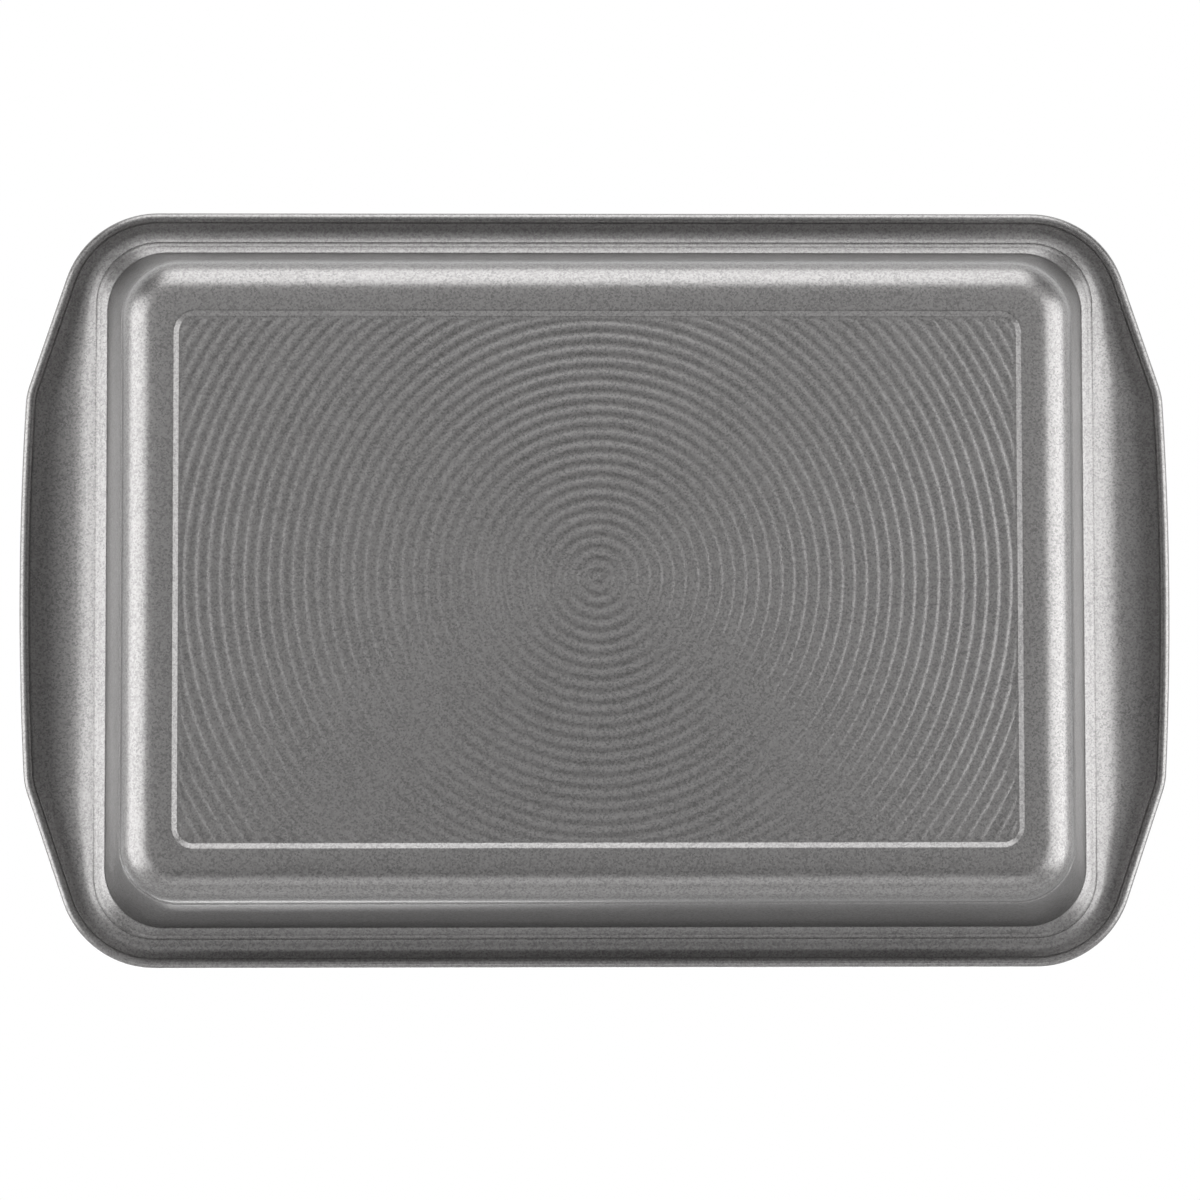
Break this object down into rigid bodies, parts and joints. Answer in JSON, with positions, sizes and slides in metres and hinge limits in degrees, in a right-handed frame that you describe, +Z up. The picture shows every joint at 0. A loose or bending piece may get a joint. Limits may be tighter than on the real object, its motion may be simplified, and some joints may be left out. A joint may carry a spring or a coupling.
{
  "type": "rectangular cake pan",
  "caption": "Rectangular baking pan pressed from one coated steel sheet, with a ringed base panel, drafted walls, flared end handles and an edge rolled over a wire.",
  "frame": {"origin": "on the table plane, under the middle of the base", "axes": "+X along the length towards one handle, +Y across the width, +Z up out of the open mouth"},
  "size_m": [0.3866, 0.254, 0.0538],
  "materials": {
    "coated_steel": "satin metallic grey nonstick coating with a fine sparkle",
    "bright_steel": "bright drawn steel wire"
  },
  "bodies": {
    "root": {"pan_shell": "coated_steel", "rim_wire": "bright_steel"}
  },
  "joints": []
}
